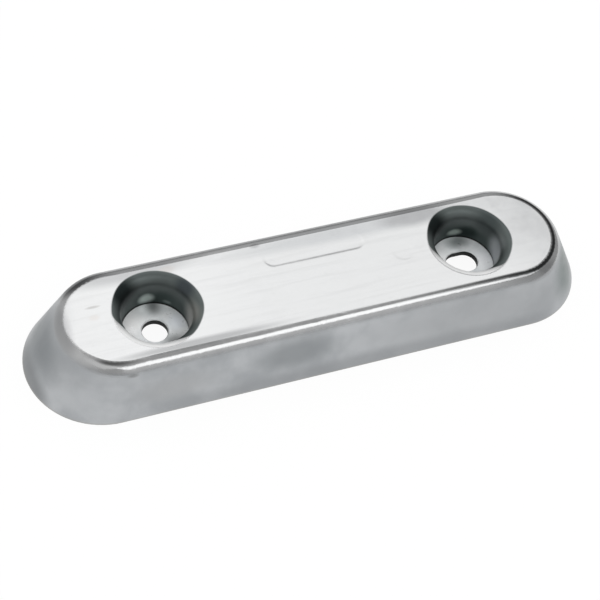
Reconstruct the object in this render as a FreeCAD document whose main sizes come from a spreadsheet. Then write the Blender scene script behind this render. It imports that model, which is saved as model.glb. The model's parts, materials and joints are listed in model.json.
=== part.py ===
import FreeCAD, Part
import math
import os
import Sketcher

# Bolt-on hull anode: a zinc bar cast round a flat steel strap.
# Millimetres, +Z up from the hull side to the water side, +X towards the slotted end.
# The origin is the middle of the flat face that lies on the hull.

doc = FreeCAD.newDocument("hull_anode")

# Driving dimensions: alias, value and meaning
DRIVING_SIZES = [
    ("base_length", 240, "length of the zinc bar over its round ends, on the hull face"),
    ("base_width", 61.4, "width of the zinc bar on the hull face"),
    ("body_height", 26, "height of the zinc bar"),
    ("side_draft", 14, "degrees that each long side leans in"),
    ("end_rake", 27, "degrees that each round end leans in at its tip"),
    ("edge_round", 5.5, "rounding round the top face"),
    ("hole_spacing", 135, "distance between the two bolt holes"),
    ("seat_level", 11.5, "height of the strap's upper face above the hull face"),
    ("seat_diameter", 27, "bare strap at the bottom of each bolt well"),
    ("well_draft", 3, "degrees that the wall of a bolt well leans out"),
    ("lip_round", 4.2, "rounding of a bolt well's mouth"),
    ("recess_diameter", 27, "bare strap above each recess in the hull face"),
    ("recess_draft", 10, "degrees that the wall of a recess leans out"),
    ("recess_edge_break", 1, "chamfer where a recess meets the hull face"),
    ("strap_thickness", 3, "thickness of the steel strap"),
    ("strap_side_grip", 4.5, "strap held in zinc on each side of a well"),
    ("strap_end_grip", 9, "strap held in zinc beyond each well"),
    ("strap_corner_round", 4, "rounding of the strap's corners"),
    ("bolt_diameter", 10, "bolt that holds the anode"),
    ("bolt_clearance", 0.5, "how much wider the bolt holes are than the bolt"),
    ("slot_travel", 3.5, "how far a bolt can shift along the slotted hole"),
    ("hole_edge_break", 0.4, "chamfer on the upper edge of each bolt hole"),
]

sizes = doc.addObject("Spreadsheet::Sheet", "Sizes")
for row, (alias, value, meaning) in enumerate(DRIVING_SIZES, start=1):
    sizes.set(f"A{row}", alias)
    sizes.set(f"B{row}", str(value))
    sizes.set(f"C{row}", meaning)
    sizes.setAlias(f"B{row}", alias)
doc.recompute()

# Expressions that several features share
BASE_LEVEL = "0"
TOP_LEVEL = "Sizes.body_height"
TOP_LENGTH = "(Sizes.base_length - 2 * Sizes.body_height * tan(Sizes.end_rake * 1 deg))"
TOP_WIDTH = "(Sizes.base_width - 2 * Sizes.body_height * tan(Sizes.side_draft * 1 deg))"
SEAT_LEVEL = "Sizes.seat_level"
STRAP_UNDERSIDE = "(Sizes.seat_level - Sizes.strap_thickness)"
STRAP_LENGTH = "(Sizes.hole_spacing + Sizes.seat_diameter + 2 * Sizes.strap_end_grip)"
STRAP_WIDTH = "(Sizes.seat_diameter + 2 * Sizes.strap_side_grip)"
HOLE_OFFSET = "(Sizes.hole_spacing / 2)"
HOLE_DIAMETER = "(Sizes.bolt_diameter + Sizes.bolt_clearance)"

# Points of a sketch line or arc, as the sketcher counts them
START, END, CENTRE = 1, 2, 3
HORIZONTAL_AXIS = -1
SKETCH_ORIGIN = (-1, 1)
UP = FreeCAD.Vector(0, 0, 1)
QUARTER_TURN = math.pi / 2

# First guesses that the sketcher moves to the dimensions it is given
GUESS_X = 60
GUESS_Y = 8
GUESS_RADIUS = 5

# An edge this close to a level lies on it
ON_LEVEL = 0.001


def new_body(label):
    body = doc.addObject("PartDesign::Body", label)
    body.Label = label
    return body


def level_sketch(body, name, level):
    """A horizontal sketch; level is the expression for its height above the hull face."""
    sketch = body.newObject("Sketcher::SketchObject", name)
    plane = next(item for item in body.Origin.OriginFeatures if item.Role == "XY_Plane")
    sketch.AttachmentSupport = [(plane, "")]
    sketch.MapMode = "FlatFace"
    sketch.setExpression(".AttachmentOffset.Base.z", level)
    return sketch


def add_dimension(sketch, name, expression, *constraint):
    """Add a named dimension that follows the expression."""
    index = sketch.addConstraint(Sketcher.Constraint(*constraint))
    sketch.renameConstraint(index, name)
    sketch.setExpression(f"Constraints.{name}", expression)


def add_arc(sketch, centre, first_quarter, quarters):
    circle = Part.Circle(centre, UP, GUESS_RADIUS)
    start = first_quarter * QUARTER_TURN
    return sketch.addGeometry(Part.ArcOfCircle(circle, start, start + quarters * QUARTER_TURN))


def join_arcs(sketch, first, second):
    """Add the straight line that runs on from the first arc's end into the second arc."""
    line = sketch.addGeometry(
        Part.LineSegment(sketch.getPoint(first, END), sketch.getPoint(second, START)))
    sketch.addConstraint(Sketcher.Constraint("Tangent", first, END, line, START))
    sketch.addConstraint(Sketcher.Constraint("Tangent", line, END, second, START))
    return line


def draw_obround(sketch, name, middle, length, width):
    """Two half circles joined by straight sides along X, centred on the axis at middle."""
    right = add_arc(sketch, FreeCAD.Vector(GUESS_X + GUESS_RADIUS, 0, 0), -1, 2)
    left = add_arc(sketch, FreeCAD.Vector(GUESS_X - GUESS_RADIUS, 0, 0), 1, 2)
    join_arcs(sketch, right, left)
    join_arcs(sketch, left, right)
    sketch.addConstraint(Sketcher.Constraint("Equal", right, left))
    sketch.addConstraint(Sketcher.Constraint("PointOnObject", right, CENTRE, HORIZONTAL_AXIS))
    sketch.addConstraint(Sketcher.Constraint("PointOnObject", left, CENTRE, HORIZONTAL_AXIS))
    add_dimension(sketch, f"{name}_radius", f"{width} / 2", "Radius", right, GUESS_RADIUS)
    add_dimension(sketch, f"{name}_travel", f"{length} - {width}",
                  "DistanceX", left, CENTRE, right, CENTRE, 2 * GUESS_RADIUS)
    add_dimension(sketch, f"{name}_reach", f"{middle} + ({length} - {width}) / 2",
                  "DistanceX", *SKETCH_ORIGIN, right, CENTRE, GUESS_X + GUESS_RADIUS)


def draw_rounded_rectangle(sketch, name, length, width, corner):
    """A rectangle round the sketch's origin with four equal round corners."""
    arcs = []
    for quarter, (side_x, side_y) in enumerate(((1, 1), (-1, 1), (-1, -1), (1, -1))):
        centre = FreeCAD.Vector(side_x * GUESS_X, side_y * GUESS_Y, 0)
        arcs.append(add_arc(sketch, centre, quarter, 1))
    for quarter, first in enumerate(arcs):
        line = join_arcs(sketch, first, arcs[(quarter + 1) % len(arcs)])
        direction = "Horizontal" if quarter % 2 == 0 else "Vertical"
        sketch.addConstraint(Sketcher.Constraint(direction, line))
    for other in arcs[1:]:
        sketch.addConstraint(Sketcher.Constraint("Equal", arcs[0], other))
    sketch.addConstraint(
        Sketcher.Constraint("Symmetric", arcs[0], CENTRE, arcs[2], CENTRE, *SKETCH_ORIGIN))
    add_dimension(sketch, f"{name}_corner", corner, "Radius", arcs[0], GUESS_RADIUS)
    add_dimension(sketch, f"{name}_long", f"{length} - 2 * {corner}",
                  "DistanceX", arcs[1], CENTRE, arcs[0], CENTRE, 2 * GUESS_X)
    add_dimension(sketch, f"{name}_short", f"{width} - 2 * {corner}",
                  "DistanceY", arcs[3], CENTRE, arcs[0], CENTRE, 2 * GUESS_Y)


def draw_circle(sketch, name, side, diameter):
    """A circle on the X axis at the bolt hole on the given side, -1 or 1."""
    circle = sketch.addGeometry(
        Part.Circle(FreeCAD.Vector(side * GUESS_X, 0, 0), UP, GUESS_RADIUS))
    sketch.addConstraint(Sketcher.Constraint("PointOnObject", circle, CENTRE, HORIZONTAL_AXIS))
    add_dimension(sketch, f"{name}_diameter", diameter, "Diameter", circle, 2 * GUESS_RADIUS)
    ends = (*SKETCH_ORIGIN, circle, CENTRE) if side > 0 else (circle, CENTRE, *SKETCH_ORIGIN)
    add_dimension(sketch, f"{name}_offset", HOLE_OFFSET, "DistanceX", *ends, GUESS_X)


def add_pocket(body, name, sketch, depth, upwards, draft="0"):
    """Cut the sketch's outline out of the body; the cut widens by the draft, in degrees."""
    volume_before = body.Shape.Volume
    pocket = body.newObject("PartDesign::Pocket", name)
    pocket.Profile = sketch
    pocket.Reversed = upwards
    pocket.setExpression("Length", depth)
    pocket.setExpression("TaperAngle", draft)
    doc.recompute()
    if pocket.Shape.isNull() or not 0 < pocket.Shape.Volume < volume_before:
        raise RuntimeError(f"{name} doesn't cut the body as it should")
    return pocket


def edges_on_level(feature, level, whole_circles):
    """Names of the feature's edges that lie at a height: whole circles, or all the others."""
    names = []
    for number, edge in enumerate(feature.Shape.Edges, start=1):
        box = edge.BoundBox
        on_level = abs(box.ZMin - level) < ON_LEVEL and abs(box.ZMax - level) < ON_LEVEL
        if on_level and edge.isClosed() == whole_circles:
            names.append(f"Edge{number}")
    return names


def dress_edges(body, kind, name, edge_names, size_name, expression):
    """Add a Fillet or a Chamfer to edges of the body's last feature."""
    feature = body.newObject(f"PartDesign::{kind}", name)
    feature.Base = (feature.BaseFeature, edge_names)
    feature.setExpression(size_name, expression)
    doc.recompute()
    return feature


# Zinc casting: a bar with drafted sides and raked half-round ends
casting = new_body("anode_casting")

hull_outline = level_sketch(casting, "HullOutline", BASE_LEVEL)
draw_obround(hull_outline, "hull", "0", "Sizes.base_length", "Sizes.base_width")
top_outline = level_sketch(casting, "TopOutline", TOP_LEVEL)
draw_obround(top_outline, "top", "0", TOP_LENGTH, TOP_WIDTH)
doc.recompute()

bar = casting.newObject("PartDesign::AdditiveLoft", "Bar")
bar.Profile = top_outline
bar.Sections = [hull_outline]
bar.Ruled = True
doc.recompute()

dress_edges(casting, "Fillet", "TopRounding", edges_on_level(bar, sizes.body_height, False),
            "Radius", "Sizes.edge_round")

# Bolt wells: from the strap up through the top face, with a generous rounded mouth
well_outline = level_sketch(casting, "WellOutline", SEAT_LEVEL)
draw_circle(well_outline, "left_well", -1, "Sizes.seat_diameter")
draw_circle(well_outline, "right_well", 1, "Sizes.seat_diameter")
wells = add_pocket(casting, "Wells", well_outline, f"{TOP_LEVEL} - {SEAT_LEVEL}", True,
                   "Sizes.well_draft")
dress_edges(casting, "Fillet", "WellLips", edges_on_level(wells, sizes.body_height, True),
            "Radius", "Sizes.lip_round")

# Recesses: from the strap down through the hull face, so that a stud's collar finds room
recess_outline = level_sketch(casting, "RecessOutline", STRAP_UNDERSIDE)
draw_circle(recess_outline, "left_recess", -1, "Sizes.recess_diameter")
draw_circle(recess_outline, "right_recess", 1, "Sizes.recess_diameter")
recesses = add_pocket(casting, "Recesses", recess_outline, STRAP_UNDERSIDE, False,
                      "Sizes.recess_draft")
dress_edges(casting, "Chamfer", "RecessRims", edges_on_level(recesses, 0, True),
            "Size", "Sizes.recess_edge_break")

# The space that the zinc leaves for the strap: exactly the strap, because it is cast round it
strap_space = level_sketch(casting, "StrapSpace", STRAP_UNDERSIDE)
draw_rounded_rectangle(strap_space, "strap", STRAP_LENGTH, STRAP_WIDTH, "Sizes.strap_corner_round")
add_pocket(casting, "StrapCavity", strap_space, "Sizes.strap_thickness", True)

# Steel strap: a flat bar with a round hole at one end and a slotted hole at the other
strap = new_body("steel_insert")

strap_outline = level_sketch(strap, "StrapOutline", STRAP_UNDERSIDE)
draw_rounded_rectangle(strap_outline, "strap", STRAP_LENGTH, STRAP_WIDTH,
                       "Sizes.strap_corner_round")
doc.recompute()

flat_bar = strap.newObject("PartDesign::Pad", "FlatBar")
flat_bar.Profile = strap_outline
flat_bar.setExpression("Length", "Sizes.strap_thickness")
doc.recompute()

hole_outline = level_sketch(strap, "BoltHoles", STRAP_UNDERSIDE)
draw_circle(hole_outline, "round_hole", -1, HOLE_DIAMETER)
draw_obround(hole_outline, "slot", HOLE_OFFSET, f"({HOLE_DIAMETER} + Sizes.slot_travel)",
             HOLE_DIAMETER)
bolt_holes = add_pocket(strap, "BoltHoleCuts", hole_outline, "Sizes.strap_thickness", True)


def inner_edges_on_level(feature, level):
    """Names of the edges at a height that bound a hole, not the strap's own outline."""
    names = []
    for face in feature.Shape.Faces:
        for wire in face.Wires:
            box = wire.BoundBox
            flat = abs(box.ZMin - level) < ON_LEVEL and abs(box.ZMax - level) < ON_LEVEL
            if not flat or wire.isSame(face.OuterWire):
                continue
            for number, edge in enumerate(feature.Shape.Edges, start=1):
                if any(edge.isSame(other) for other in wire.Edges):
                    names.append(f"Edge{number}")
    return names


dress_edges(strap, "Chamfer", "HoleEdges", inner_edges_on_level(bolt_holes, sizes.seat_level),
            "Size", "Sizes.hole_edge_break")

# Every feature has to have worked before anything is written
doc.recompute()
for item in doc.Objects:
    if "Invalid" in item.State or "Error" in item.State:
        raise RuntimeError(f"{item.Name} failed: {item.State}")

os.makedirs("parts", exist_ok=True)
for body in (casting, strap):
    shape = body.Shape
    if shape.isNull() or not shape.isValid() or len(shape.Solids) != 1:
        raise RuntimeError(f"{body.Label} is not one valid solid")
    shape.exportStep(f"parts/{body.Label}.step")
    box = shape.optimalBoundingBox(False)
    print(f"{body.Label}: {shape.Volume:.1f} mm3, X {box.XMin:.2f}..{box.XMax:.2f}, "
          f"Y {box.YMin:.2f}..{box.YMax:.2f}, Z {box.ZMin:.2f}..{box.ZMax:.2f}")
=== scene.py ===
import json
import math

import bpy
from mathutils import Euler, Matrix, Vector


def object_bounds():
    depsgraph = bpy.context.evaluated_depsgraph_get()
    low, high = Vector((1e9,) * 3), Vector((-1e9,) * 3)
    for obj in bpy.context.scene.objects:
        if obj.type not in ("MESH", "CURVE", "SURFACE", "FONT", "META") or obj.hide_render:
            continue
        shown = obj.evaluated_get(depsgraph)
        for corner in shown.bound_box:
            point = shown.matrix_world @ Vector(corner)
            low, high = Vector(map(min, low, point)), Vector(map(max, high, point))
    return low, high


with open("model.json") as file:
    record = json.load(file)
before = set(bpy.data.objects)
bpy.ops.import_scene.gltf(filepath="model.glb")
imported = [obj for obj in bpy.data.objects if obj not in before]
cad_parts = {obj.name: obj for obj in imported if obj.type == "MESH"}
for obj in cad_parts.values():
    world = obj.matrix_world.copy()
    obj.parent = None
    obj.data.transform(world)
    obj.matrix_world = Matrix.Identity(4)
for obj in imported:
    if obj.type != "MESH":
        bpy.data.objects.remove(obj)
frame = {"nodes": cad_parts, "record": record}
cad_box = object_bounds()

MM = 0.001
WHITE = (1, 1, 1)

# Sizes of the part that the materials need, in mm
MOUNTS = {mount["name"]: mount for mount in frame["record"]["mounts"]}
HOLE_X = abs(MOUNTS["round_hole"]["pos_m"][0]) / MM
TOP_Z = cad_box[1][2] / MM
SEAT_Z = 11.5
SEAT_RADIUS = 13.5
LIP_OUTER_RADIUS = 18.2

# Camera: looks down along the bar's front side from the left, as the photograph does
CAMERA_PLACE = Vector((-204.74, -338.53, 534.84)) * MM
CAMERA_TURN = Euler([math.radians(angle) for angle in (36.149, -7.468, -20.374)])
LENS_MM = 96.47
SENSOR_MM = 36
CLIP_START = 0.01

# Soft boxes: name, azimuth and elevation towards it, distance, width, height, strength
SOFT_BOXES = [
    ("back_box", 66, 56, 1.2, 1.0, 0.46, 0.96),
    ("back_left", 84, 56, 1.15, 0.4, 0.46, 0.1),
    ("back_low", 72, 28, 1.2, 0.8, 0.45, 0.15),
    ("left_box", 130, 53, 1.2, 0.6, 0.5, 0.2),
    ("left_wall", 162, 27, 1.25, 2.6, 1.0, 0.24),
    ("left_roof", 203, 63, 1.2, 0.9, 0.7, 0.32),
    ("key_box", -56, 61, 1.2, 1.1, 0.48, 1.25),
    ("front_wall", -64, 24, 1.25, 1.4, 1.05, 0.2),
]
# World: the level that lights plain surfaces, and the dimmer studio that metal mirrors
WORLD_LEVEL = 0.78
MIRRORED_LEVEL = 0.42
# Floor: half its side in m, the colour that lights the part, the part of its white that keeps the shadow
FLOOR_HALF = 12.0
FLOOR_COLOUR = (0.85, 0.85, 0.85)
FLOOR_SHADOW_SHARE = 0.06

# Colours of the cast skin by where it lies, with a painted highlight on the wells' near lips, and of the
# strap
TOP_COLOUR = (0.625, 0.63, 0.633)
TOP_DULL_COLOUR = (0.595, 0.6, 0.602)
WIPE_COLOUR = (0.42, 0.42, 0.425)
SIDE_PALE_COLOUR = (0.49, 0.505, 0.52)
SIDE_DARK_COLOUR = (0.36, 0.375, 0.39)
# Painted highlight on the wells' near lips
LIP_HIGHLIGHT_COLOUR = (0.88, 0.885, 0.885)
WELL_COLOUR = (0.135, 0.155, 0.152)
# Painted shade: the wells' skin darker towards the bottom
WELL_LOW_COLOUR = (0.075, 0.095, 0.092)
FOOT_COLOUR = (0.4, 0.39, 0.37)
# Near-black for painted shade, and for the dark line where the casting meets the strap
SHADE_AND_SEAM_COLOUR = (0.02, 0.022, 0.022)
STRAP_COLOUR = (0.84, 0.86, 0.87)
STRAP_DULL_COLOUR = (0.7, 0.73, 0.74)

# Noises: about how many mm a feature is across, detail, roughness
CLOUD = (26, 3, 0.55)
COARSE = (11, 2, 0.5)
BLOTCH = (7, 4, 0.6)
GRAIN = (1.4, 4, 0.65)
FINE = (0.45, 2, 0.5)
WIPES = (1, 3, 0.6)
STRAP_BLOTCH = (5, 4, 0.6)
STRAP_WAVES = (4, 1, 0.5)
STRAP_GRAIN = (0.8, 3, 0.6)
# Size of a wipe mark along X, Y and Z, in mm
WIPE_SIZE = (40, 2.6, 5)
# Unevenness: noise, and its height in mm, on the zinc first on the sides and then on the top
ZINC_BUMPS = [(COARSE, (0.1, 0.02)), (GRAIN, (0.03, 0.004)), (FINE, (0.01, 0.002))]
STRAP_BUMPS = [(STRAP_WAVES, 0.012), (STRAP_GRAIN, 0.002)]

# Ranges, from where a layer of the skin starts to where it is full: values of a noise
MOTTLE_RANGE = (0.36, 0.64)
BRIGHT_RANGE = (0.35, 0.7)
WIPE_RANGE = (0.45, 0.75)
SPECKLE_RANGE = (0.62, 0.8)
# Ranges of how far a face looks up: 1 is level, 0 upright
RUBBED_UP = (0.35, 0.85)
ROUNDING_UP = (0.999, 0.987)
SHADE_LINE_UP = (0.9, 0.945)
DULL_END_UP = (0.999, 0.97)
FOOT_UP = (-0.4, 0.0)
BORE_UP = (0.5, 0.2)
# Ranges of places, in mm
SHADE_LINE_X = (10, 95)
SHADE_LINE_Y = (24, 14)
FOOT_Z = (0.9, 0.2)
SEAM_Z = (SEAT_Z + 0.9, SEAT_Z + 0.1)
LOW_IN_WELL_Z = (TOP_Z - 5, TOP_Z - 11)
STRAP_SEAM_Y = (-3, 6)
# Ranges of distance from the nearer bolt hole's axis, in mm
IN_WELL_RADIUS = (LIP_OUTER_RADIUS, LIP_OUTER_RADIUS - 0.8)
PAST_LIP_RADIUS = (LIP_OUTER_RADIUS, LIP_OUTER_RADIUS + 0.5)
STRAP_SEAM_RADIUS = (SEAT_RADIUS - 0.5, SEAT_RADIUS - 0.1)

# Direction across a well to its far side, and how far a point lies towards it: 1 is straight there
FAR_SIDE = (0.515, 0.857, 0)
NEAR_LIP = (-0.4, -0.9)
FAR_LIP = (-0.2, 0.6)
# Radius of the dark skin on the near side, and from the well's sides to its far side, where it runs over the
# lip as painted shade
NEAR_SKIN_RADIUS = SEAT_RADIUS + 1
FAR_SKIN_AND_SHADE_RADIUS = (LIP_OUTER_RADIUS - 0.2, LIP_OUTER_RADIUS + 0.8)
SKIN_FADE = (0, 0.7)

# How much of a layer shows at most; the strap's seam has its first share at the front, its second behind
BLOTCH_SHARE = 0.22
WIPE_SHARE = 0.16
SPECKLE_SHARE = 0.25
SHADE_LINE_SHARE = 0.95
FOOT_SHARE = 0.5
STRAP_SEAM_SHARES = (0.3, 1)

# Roughness and metalness
SIDE_ROUGHNESS = 0.36
TOP_ROUGHNESS = 0.16
DULL_ROUGHNESS = 0.42
SKIN_ROUGHNESS = 0.45
STRAP_ROUGHNESS = 0.3
BORE_ROUGHNESS = 0.6
SIDE_METAL = 0.85
TOP_METAL = 0.96
LIP_HIGHLIGHT_METAL = 0.4
STRAP_METAL = 0.15
BORE_METAL = 0.9
# What the blotches add to the roughness: values of the noise, then roughness
ZINC_UNEVEN = (0.3, 0.75, -0.03, 0.05)
STRAP_UNEVEN = (0.3, 0.7, 0.06, -0.04)
# Duller left end: centre and reach in mm, and the share of the reach that is full
DULL_END = ((-112, -4, 20), (24, 36, 16), 0.5)

# Stains and painted shade on the casting, darker and paler places: centre and reach in mm, colour, strength
STAINS_AND_SHADE = [
    # Painted shade on the front side
    ((-18, -27, 15), (24, 9, 11), (0.25, 0.265, 0.275), 0.8),
    ((66, -28, 14), (78, 10, 20), (0.35, 0.36, 0.37), 0.6),
    ((-68, -27, 12), (22, 10, 9), (0.43, 0.435, 0.44), 0.5),
    ((22, 17.5, 26), (80, 6, 3), (0.44, 0.45, 0.46), 0.7),
    ((-74, 20, 26), (40, 7, 3), (0.38, 0.385, 0.39), 0.8),
    ((50, 18, 26), (22, 7, 3), (0.3, 0.305, 0.31), 0.7),
    ((-104.5, 2, 26), (4, 15, 2), (0.42, 0.42, 0.43), 0.6),
    # Darker towards the foot along the front side
    ((20, -30.5, 2), (140, 4, 8), (0.27, 0.28, 0.29), 0.6),
    ((-58, 17.5, 26), (5, 2.5, 2), (0.45, 0.4, 0.36), 0.25),
    ((-91.3, 7.3, 26), (4, 0.9, 2), (0.36, 0.35, 0.34), 0.6),
    ((-92, 2.4, 26), (3, 2, 2), (0.55, 0.5, 0.47), 0.35),
    ((96.3, 5.7, 26), (3.5, 1, 2), (0.4, 0.4, 0.4), 0.5),
    ((-20.3, 19.8, 26), (3, 1.6, 2), (0.3, 0.3, 0.3), 0.6),
    ((-84.4, -24.7, 22.5), (3, 4, 1.2), (0.2, 0.2, 0.2), 0.6),
    ((-114, 9, 14), (21, 27, 21), (0.21, 0.225, 0.235), 0.85),
    ((-119, -2, 2), (7, 30, 8), (0.15, 0.155, 0.16), 0.6),
    ((110, -15, 13), (16, 18, 18), (0.14, 0.17, 0.165), 0.85),
    ((-56, -18.8, 26), (46, 2.6, 2), (0.27, 0.275, 0.28), 0.7),
    ((112, 5, 26), (48, 45, 4), (0.49, 0.495, 0.5), 0.85),
]
# Painted shade and stains that keep to the rounding of the top edge, with the dark bands that the rounding
# shows in reflection along the back and at the front left, and a dimmed stretch of its highlight at the front
# right: centre and reach in mm, colour, strength
ROUNDING_SHADE_AND_STAINS = [
    # Painted dark reflection along the back rounding
    ((0, 24, 24), (150, 4.5, 4.5), (0.2, 0.205, 0.21), 0.85),
    ((-94, 20, 24.7), (18, 8, 4), (0.08, 0.083, 0.085), 0.9),
    ((-105, -2, 25), (6, 14, 3), (0.4, 0.405, 0.41), 0.7),
    # Painted dark reflection line at the front left
    ((-91, -19.5, 26), (15, 4.5, 0.6), (0.12, 0.12, 0.12), 0.85),
    # Painted shade dimming the highlight at the front right
    ((92, -22, 25), (26, 7, 4), (0.3, 0.305, 0.31), 0.8),
]
# Painted shade and painted reflections on the wells' walls: dark places, and pale patches where the walls
# mirror the bright seat and hole: centre and reach in mm, colour, strength
WELL_SHADE_AND_REFLECTIONS = [
    ((-78.5, 12, 24.5), (10.5, 10, 9), (0.015, 0.02, 0.02), 0.97),
    ((-60, 12, 15), (9, 5, 6), (0.07, 0.095, 0.09), 0.8),
    ((-67.2, 13.4, 14.8), (4.4, 3, 3.8), (0.75, 0.84, 0.8), 0.95),
    ((-58, 12, 13.5), (3.5, 3, 1.6), (0.4, 0.44, 0.43), 0.7),
    ((-54, -4, 18), (6, 10, 12), (0.46, 0.45, 0.42), 0.85),
    ((-53.5, 8, 25), (6, 7, 4), (0.05, 0.06, 0.07), 0.75),
    ((56.5, 12, 24.5), (10.5, 10, 9), (0.012, 0.017, 0.017), 0.97),
    ((75, 12, 15), (9, 5, 5), (0.02, 0.032, 0.03), 0.85),
    ((69, 13.4, 14.4), (4.4, 3, 2.6), (0.6, 0.68, 0.63), 0.95),
    ((81, 8, 23), (8, 10, 8), (0.07, 0.085, 0.085), 0.85),
    ((81, -3, 17), (6, 9, 10), (0.5, 0.52, 0.54), 0.85),
]
# Painted highlights and painted shade on the turned seats, the bright and dark sectors that a turned face
# shows: centre and reach in mm, colour, strength
SEAT_SHEEN_AND_SHADE = [
    ((-76.5, 5.5, SEAT_Z), (10, 10, 1), (0.97, 0.98, 0.98), 1),
    ((-58, 2, SEAT_Z), (5, 6, 1), (0.88, 0.92, 0.97), 0.85),
    ((-65, 11.5, SEAT_Z), (5, 6, 1), (0.12, 0.13, 0.13), 0.85),
    ((-61, -7, SEAT_Z), (8, 6.5, 1), (0.17, 0.18, 0.18), 0.85),
    ((59.5, 3, SEAT_Z), (8, 9, 1), (0.94, 0.95, 0.95), 0.9),
    ((77, -2.5, SEAT_Z), (8, 11, 1), (0.96, 0.98, 1), 0.95),
    ((70, 10.5, SEAT_Z), (8, 6, 1), (0.13, 0.15, 0.15), 0.85),
]
# Share of a patch's reach that is full, and of the reach of a painted highlight and painted shade on the
# seats
PATCH_CORE = 0.25
SEAT_SHEEN_CORE = 0.1
# Plain sunk panel and round pin mark in the top: centre, half length, radius, depth, in mm
PANEL = ((2.5, 12.0), 17.6, 3.9, 0.09)
PIN_MARK = ((38.2, 2.0), 0.0, 4.3, 0.04)
SUNK_EDGE = 0.8


class Graph:
    """Adds nodes to a material or world; an input is a number, a vector, a colour or another output."""

    def __init__(self, owner):
        owner.use_nodes = True
        self.nodes = owner.node_tree.nodes
        self.links = owner.node_tree.links

    def add(self, kind, settings=None, inputs=None, output=0):
        node = self.nodes.new(kind)
        for name, value in (settings or {}).items():
            setattr(node, name, value)
        for key, value in (inputs or {}).items():
            self.feed(node.inputs[key], value)
        return node.outputs[output]

    def feed(self, socket, value):
        if isinstance(value, bpy.types.NodeSocket):
            self.links.new(value, socket)
        elif socket.type == "RGBA":
            socket.default_value = (*value, 1)
        else:
            socket.default_value = value

    def math(self, operation, *values):
        return self.add("ShaderNodeMath", {"operation": operation}, dict(enumerate(values)))

    def chain(self, operation, first, *others):
        """The operation on two values, and on its result and each further one."""
        for other in others:
            first = self.math(operation, first, other)
        return first

    def total(self, *values):
        return self.chain("ADD", *values)

    def product(self, *values):
        return self.chain("MULTIPLY", *values)

    def rays(self, *kinds):
        """1 for rays of any of these kinds."""
        return self.chain("MAXIMUM", *[self.add("ShaderNodeLightPath", output=kind) for kind in kinds])


class Surface(Graph):
    """The graph of a material of the part, which knows where on the part a point is."""

    def __init__(self, name):
        self.material = bpy.data.materials.new(name)
        super().__init__(self.material)
        coordinates = self.nodes.new("ShaderNodeTexCoord")
        # Place in mm, and how far the face looks up
        self.at = self.add("ShaderNodeVectorMath", {"operation": "SCALE"},
                           {0: coordinates.outputs["Object"], "Scale": 1 / MM})
        self.x, self.y, self.z = self.split(self.at)
        self.up = self.split(coordinates.outputs["Normal"])[2]
        # Place seen from the nearer bolt hole's axis, and its distance
        nearer = self.product(self.math("SIGN", self.x), HOLE_X)
        self.from_hole = self.join(self.math("SUBTRACT", self.x, nearer), self.y, 0)
        self.radius = self.length(self.from_hole)

    def split(self, vector):
        node = self.nodes.new("ShaderNodeSeparateXYZ")
        self.feed(node.inputs[0], vector)
        return tuple(node.outputs)

    def join(self, x, y, z):
        return self.add("ShaderNodeCombineXYZ", None, {0: x, 1: y, 2: z})

    def vector(self, operation, *values, output=0):
        return self.add("ShaderNodeVectorMath", {"operation": operation}, dict(enumerate(values)), output)

    def length(self, vector):
        return self.vector("LENGTH", vector, output="Value")

    def remap(self, value, start, full, out_start=0.0, out_full=1.0):
        """Smooth step from one number to another as the value goes from start to full."""
        return self.add("ShaderNodeMapRange", {"interpolation_type": "SMOOTHSTEP"},
                        {0: value, 1: start, 2: full, 3: out_start, 4: out_full})

    def mix(self, factor, one, other):
        """Colour that goes from one to other as the factor goes from 0 to 1."""
        return self.add("ShaderNodeMix", {"data_type": "RGBA"}, {0: factor, 6: one, 7: other}, 2)

    def blend(self, factor, one, other):
        """Number that goes from one to other as the factor goes from 0 to 1."""
        return self.add("ShaderNodeMix", {"data_type": "FLOAT"}, {0: factor, 2: one, 3: other})

    def noise(self, feature, detail, rough, at=None):
        """Noise from 0 to 1 whose features are about so many mm across."""
        return self.add("ShaderNodeTexNoise", None,
                        {"Vector": at or self.at, "Scale": 1 / feature, "Detail": detail, "Roughness": rough})

    def uneven(self, bumps):
        """Height in mm of noises, each with its own height."""
        return self.total(*[self.product(self.noise(*noise), height) for noise, height in bumps])

    def spot(self, centre, reach, core):
        """1 up to a share of the reach from a place, falling off to 0 at its reach along each axis."""
        apart = self.vector("DIVIDE", self.vector("SUBTRACT", self.at, centre), reach)
        return self.remap(self.length(apart), 1, core)

    def with_patches(self, colour, patches, core=PATCH_CORE, within=1.0):
        """The colour with patches over it, which keep to a part of the surface: discoloured places, and
        painted shade, highlights and reflections.
        """
        for centre, reach, patch_colour, strength in patches:
            share = self.product(self.spot(centre, reach, core), within, strength)
            colour = self.mix(share, colour, patch_colour)
        return colour

    def sunk(self, centre, half_length, radius, depth):
        """Height of a shallow place with round ends that lies along the bar."""
        from_middle = self.math("ABSOLUTE", self.math("SUBTRACT", self.x, centre[0]))
        along = self.math("MAXIMUM", self.math("SUBTRACT", from_middle, half_length), 0)
        across = self.math("SUBTRACT", self.y, centre[1])
        apart = self.length(self.join(along, across, 0))
        return self.remap(apart, radius - SUNK_EDGE, radius + SUNK_EDGE, -depth, 0)

    def finish(self, colour, metallic, roughness, height):
        """The material with its shader fed; the height is in mm."""
        shader = self.nodes["Principled BSDF"]
        bump = self.add("ShaderNodeBump", None, {"Distance": MM, "Height": height})
        self.feed(shader.inputs["Base Color"], colour)
        self.feed(shader.inputs["Metallic"], metallic)
        self.feed(shader.inputs["Roughness"], roughness)
        self.feed(shader.inputs["Normal"], bump)
        return self.material


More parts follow.
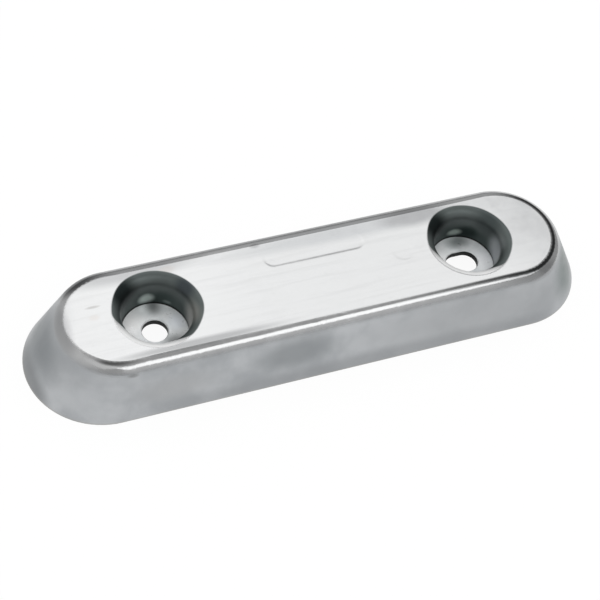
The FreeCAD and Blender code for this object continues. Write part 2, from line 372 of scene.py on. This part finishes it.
def lip_highlight_and_well_skin(zinc):
    """Shares of the painted highlight on a well's near rim, and of the well's dark cast surface, which runs
    over the rim on its far side as painted shade.
    """
    toward_far = zinc.vector("DOT_PRODUCT", zinc.from_hole, FAR_SIDE, output="Value")
    toward_far = zinc.math("DIVIDE", toward_far, zinc.radius)
    near = zinc.remap(toward_far, *NEAR_LIP)
    # Painted highlight: the lip on the near side of each well
    lip_highlight = zinc.product(zinc.remap(zinc.radius, *IN_WELL_RADIUS), near)
    # How far the dark skin reaches: on the far side it runs over the lip as painted shade
    reach = zinc.blend(near, zinc.remap(toward_far, *FAR_LIP, *FAR_SKIN_AND_SHADE_RADIUS), NEAR_SKIN_RADIUS)
    well_skin_and_shade = zinc.remap(zinc.math("SUBTRACT", reach, zinc.radius), *SKIN_FADE)
    return lip_highlight, well_skin_and_shade


def outside_colour(zinc, rubbed):
    """Mottled sides and a bright top, with discoloured places and painted shade, wipe marks along the bar and
    specks.
    """
    blotch = zinc.noise(*BLOTCH)
    mottle = zinc.blend(BLOTCH_SHARE, zinc.noise(*CLOUD), blotch)
    side = zinc.mix(zinc.remap(mottle, *MOTTLE_RANGE), SIDE_DARK_COLOUR, SIDE_PALE_COLOUR)
    top = zinc.mix(zinc.remap(blotch, *BRIGHT_RANGE), TOP_DULL_COLOUR, TOP_COLOUR)
    # Discoloured places and painted shade
    colour = zinc.with_patches(zinc.mix(rubbed, side, top), STAINS_AND_SHADE)
    wipes = zinc.noise(*WIPES, zinc.vector("DIVIDE", zinc.at, WIPE_SIZE))
    wipes = zinc.product(zinc.remap(wipes, *WIPE_RANGE), rubbed, WIPE_SHARE)
    colour = zinc.mix(wipes, colour, WIPE_COLOUR)
    specks = zinc.product(zinc.remap(zinc.noise(*GRAIN), *SPECKLE_RANGE), SPECKLE_SHARE)
    return zinc.mix(specks, colour, SIDE_DARK_COLOUR)


def well_colour(zinc):
    # Dark skin in the wells, with painted shade darker towards the bottom
    low = zinc.remap(zinc.z, *LOW_IN_WELL_Z)
    # Painted shade and painted reflections on the walls
    return zinc.with_patches(zinc.mix(low, WELL_COLOUR, WELL_LOW_COLOUR), WELL_SHADE_AND_REFLECTIONS)


def with_edge_marks(zinc, colour):
    """The colour with painted shade and discoloured places in the rounding, a painted dark line in the front
    rounding towards the right, a worn foot and a dark line where the wells meet the strap.
    """
    rounding = zinc.product(zinc.remap(zinc.up, *ROUNDING_UP), zinc.remap(zinc.radius, *PAST_LIP_RADIUS))
    # Painted shade and stains in the rounding
    colour = zinc.with_patches(colour, ROUNDING_SHADE_AND_STAINS, within=rounding)
    # Painted shade: a dark line in the front rounding, towards the right
    shade_line = zinc.product(rounding, zinc.remap(zinc.up, *SHADE_LINE_UP), zinc.remap(zinc.x, *SHADE_LINE_X),
                         zinc.remap(zinc.y, *SHADE_LINE_Y), SHADE_LINE_SHARE)
    colour = zinc.mix(shade_line, colour, SHADE_AND_SEAM_COLOUR)
    foot = zinc.product(zinc.remap(zinc.z, *FOOT_Z), zinc.remap(zinc.up, *FOOT_UP), FOOT_SHARE)
    colour = zinc.mix(foot, colour, FOOT_COLOUR)
    # Dark line where the wells' walls meet the strap
    seam = zinc.product(zinc.remap(zinc.radius, *IN_WELL_RADIUS), zinc.remap(zinc.z, *SEAM_Z))
    return zinc.mix(seam, colour, SHADE_AND_SEAM_COLOUR)


def zinc_roughness(zinc, rubbed, lip_highlight, well_skin_and_shade):
    dull_end = zinc.product(zinc.spot(*DULL_END), zinc.remap(zinc.up, *DULL_END_UP))
    roughness = zinc.blend(rubbed, SIDE_ROUGHNESS, TOP_ROUGHNESS)
    roughness = zinc.blend(zinc.math("MAXIMUM", lip_highlight, dull_end), roughness, DULL_ROUGHNESS)
    roughness = zinc.blend(well_skin_and_shade, roughness, SKIN_ROUGHNESS)
    return zinc.total(roughness, zinc.remap(zinc.noise(*BLOTCH), *ZINC_UNEVEN))


def zinc_height(zinc, rubbed):
    """Unevenness of the casting, and the sunk marks in its top."""
    height = zinc.uneven([(noise, zinc.blend(rubbed, *heights)) for noise, heights in ZINC_BUMPS])
    marks = zinc.total(zinc.sunk(*PANEL), zinc.sunk(*PIN_MARK))
    return zinc.total(height, zinc.product(marks, rubbed))


def zinc_material():
    """Cast zinc: a rubbed bright top, mottled dull sides, a painted highlight on the wells' near rims, and a
    dark cast surface in the wells, with painted shade and painted reflections.
    """
    zinc = Surface("cast_zinc")
    rubbed = zinc.remap(zinc.up, *RUBBED_UP)
    lip_highlight, well_skin_and_shade = lip_highlight_and_well_skin(zinc)
    # Painted highlight on the near lips
    colour = zinc.mix(lip_highlight, outside_colour(zinc, rubbed), LIP_HIGHLIGHT_COLOUR)
    # Dark skin with painted shade in the wells
    colour = with_edge_marks(zinc, zinc.mix(well_skin_and_shade, colour, well_colour(zinc)))
    # Lower metalness where the painted highlight on the near lips lies outside the dark well
    bare_lip_highlight = zinc.math("SUBTRACT", lip_highlight, well_skin_and_shade)
    metallic = zinc.blend(bare_lip_highlight, zinc.blend(rubbed, SIDE_METAL, TOP_METAL), LIP_HIGHLIGHT_METAL)
    return zinc.finish(colour, metallic, zinc_roughness(zinc, rubbed, lip_highlight, well_skin_and_shade), zinc_height(zinc, rubbed))


def strap_material():
    """Zinc-plated steel: pale and bright, dull in places, with painted highlights and painted shade on the
    seats, dark where it meets the casting, and painted shade in the bores.
    """
    strap = Surface("strap_steel")
    blotch = strap.noise(*STRAP_BLOTCH)
    colour = strap.mix(strap.remap(blotch, *BRIGHT_RANGE), STRAP_DULL_COLOUR, STRAP_COLOUR)
    # Painted highlights and painted shade on the seats
    colour = strap.with_patches(colour, SEAT_SHEEN_AND_SHADE, SEAT_SHEEN_CORE)
    # Dark ring where the strap meets the casting
    seam = strap.product(strap.remap(strap.radius, *STRAP_SEAM_RADIUS),
                         strap.remap(strap.y, *STRAP_SEAM_Y, *STRAP_SEAM_SHARES))
    colour = strap.mix(seam, colour, SHADE_AND_SEAM_COLOUR)
    # Painted shade in the bolt holes' bores
    bore = strap.remap(strap.up, *BORE_UP)
    colour = strap.mix(bore, colour, SHADE_AND_SEAM_COLOUR)
    roughness = strap.blend(bore, STRAP_ROUGHNESS, BORE_ROUGHNESS)
    roughness = strap.total(roughness, strap.remap(blotch, *STRAP_UNEVEN))
    metallic = strap.blend(bore, STRAP_METAL, BORE_METAL)
    return strap.finish(colour, metallic, roughness, strap.uneven(STRAP_BUMPS))


def add_soft_box(name, azimuth, elevation, distance, width, height, strength):
    """Adds an area light whose face has the given radiance, where white is 1."""
    data = bpy.data.lights.new(name, "AREA")
    data.shape = "RECTANGLE"
    data.size = width
    data.size_y = height
    data.energy = strength * math.pi * width * height
    light = bpy.data.objects.new(name, data)
    bpy.context.scene.collection.objects.link(light)
    level = math.cos(math.radians(elevation))
    towards = Vector((level * math.cos(math.radians(azimuth)),
                      level * math.sin(math.radians(azimuth)),
                      math.sin(math.radians(elevation))))
    light.location = towards * distance
    light.rotation_euler = towards.to_track_quat("Z", "Y").to_euler()
    light.visible_camera = False


def floor_material():
    """White floor that keeps a faint shadow, and lights the part as a plain pale one."""
    material = bpy.data.materials.new("floor_white")
    graph = Graph(material)
    graph.nodes.remove(graph.nodes["Principled BSDF"])
    plain = graph.add("ShaderNodeBsdfDiffuse", None, {"Color": FLOOR_COLOUR})
    shaded = graph.add("ShaderNodeBsdfDiffuse", None, {"Color": (FLOOR_SHADOW_SHARE,) * 3})
    white = graph.add("ShaderNodeEmission", None, {"Strength": 1 - FLOOR_SHADOW_SHARE})
    shown = graph.add("ShaderNodeAddShader", None, {0: shaded, 1: white})
    seen = graph.rays("Is Camera Ray", "Is Glossy Ray", "Is Transmission Ray")
    either = graph.add("ShaderNodeMixShader", None, {0: seen, 1: plain, 2: shown})
    graph.feed(graph.nodes["Material Output"].inputs["Surface"], either)
    return material


def add_floor():
    mesh = bpy.data.meshes.new("floor")
    corners = [(-1, -1), (1, -1), (1, 1), (-1, 1)]
    mesh.from_pydata([(x * FLOOR_HALF, y * FLOOR_HALF, 0) for x, y in corners], [], [(0, 1, 2, 3)])
    floor = bpy.data.objects.new("floor", mesh)
    bpy.context.scene.collection.objects.link(floor)
    floor.data.materials.append(floor_material())


def add_world():
    world = bpy.data.worlds.new("studio")
    graph = Graph(world)
    plain = graph.nodes["Background"]
    graph.feed(plain.inputs["Color"], WHITE)
    graph.feed(plain.inputs["Strength"], WORLD_LEVEL)
    mirrored = graph.add("ShaderNodeBackground", None, {"Color": WHITE, "Strength": MIRRORED_LEVEL})
    either = graph.add("ShaderNodeMixShader", None,
                       {0: graph.rays("Is Glossy Ray"), 1: plain.outputs[0], 2: mirrored})
    graph.feed(graph.nodes["World Output"].inputs["Surface"], either)
    bpy.context.scene.world = world


def add_camera():
    data = bpy.data.cameras.new("camera")
    data.lens = LENS_MM
    data.sensor_width = SENSOR_MM
    data.sensor_fit = "HORIZONTAL"
    data.clip_start = CLIP_START
    camera = bpy.data.objects.new("camera", data)
    camera.location = CAMERA_PLACE
    camera.rotation_euler = CAMERA_TURN
    bpy.context.scene.collection.objects.link(camera)
    bpy.context.scene.camera = camera


for node, material in (("anode_casting", zinc_material()), ("steel_insert", strap_material())):
    data = frame["nodes"][node].data
    data.materials.clear()
    data.materials.append(material)

add_floor()
add_world()
add_camera()
for soft_box in SOFT_BOXES:
    add_soft_box(*soft_box)
bpy.context.scene.view_settings.view_transform = "Standard"
